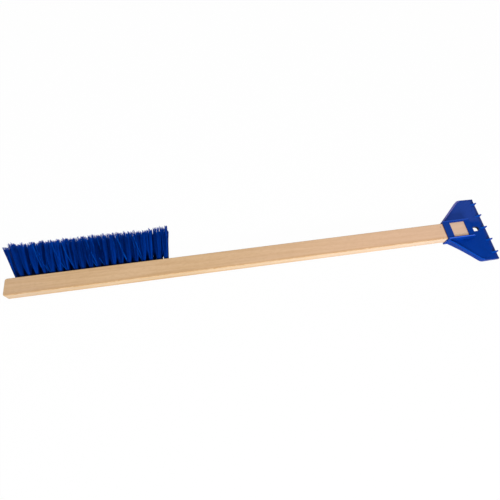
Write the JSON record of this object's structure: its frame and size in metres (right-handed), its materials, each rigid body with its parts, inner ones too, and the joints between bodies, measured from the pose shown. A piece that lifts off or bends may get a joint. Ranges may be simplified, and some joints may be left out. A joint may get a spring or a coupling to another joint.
{
  "type": "snow brush",
  "caption": "Long snow brush: wooden lath handle with two rows of blue bristle tufts along one edge at one end and a flared blue plastic ice scraper with teeth at the other.",
  "frame": {"origin": "centre of the lath's end face at the brush end", "axes": "+X along the lath to the scraper's blade, +Y the way the bristles point, +Z out of the wide face that the scraper's teeth stand on"},
  "size_m": [0.7221, 0.1176, 0.0196],
  "materials": {
    "planed_wood": "planed, uncoated",
    "blue_plastic": "semi-gloss, moulded",
    "blue_bristle": "fine filaments with a soft sheen",
    "nail_steel": "bright wire"
  },
  "bodies": {
    "root": {"handle": "planed_wood", "ice_scraper": "blue_plastic", "scraper_nail_1": "nail_steel", "scraper_nail_2": "nail_steel", "tuft_upper_01": "blue_bristle", "tuft_upper_02": "blue_bristle", "tuft_upper_03": "blue_bristle", "tuft_upper_04": "blue_bristle", "tuft_upper_05": "blue_bristle", "tuft_upper_06": "blue_bristle", "tuft_upper_07": "blue_bristle", "tuft_upper_08": "blue_bristle", "tuft_upper_09": "blue_bristle", "tuft_upper_10": "blue_bristle", "tuft_upper_11": "blue_bristle", "tuft_upper_12": "blue_bristle", "tuft_upper_13": "blue_bristle", "tuft_upper_14": "blue_bristle", "tuft_upper_15": "blue_bristle", "tuft_upper_16": "blue_bristle", "tuft_upper_17": "blue_bristle", "tuft_upper_18": "blue_bristle", "tuft_upper_19": "blue_bristle", "tuft_upper_20": "blue_bristle", "tuft_lower_01": "blue_bristle", "tuft_lower_02": "blue_bristle", "tuft_lower_03": "blue_bristle", "tuft_lower_04": "blue_bristle", "tuft_lower_05": "blue_bristle", "tuft_lower_06": "blue_bristle", "tuft_lower_07": "blue_bristle", "tuft_lower_08": "blue_bristle", "tuft_lower_09": "blue_bristle", "tuft_lower_10": "blue_bristle", "tuft_lower_11": "blue_bristle", "tuft_lower_12": "blue_bristle", "tuft_lower_13": "blue_bristle", "tuft_lower_14": "blue_bristle", "tuft_lower_15": "blue_bristle", "tuft_lower_16": "blue_bristle", "tuft_lower_17": "blue_bristle", "tuft_lower_18": "blue_bristle", "tuft_lower_19": "blue_bristle", "tuft_lower_20": "blue_bristle", "tuft_lower_21": "blue_bristle"}
  },
  "joints": []
}
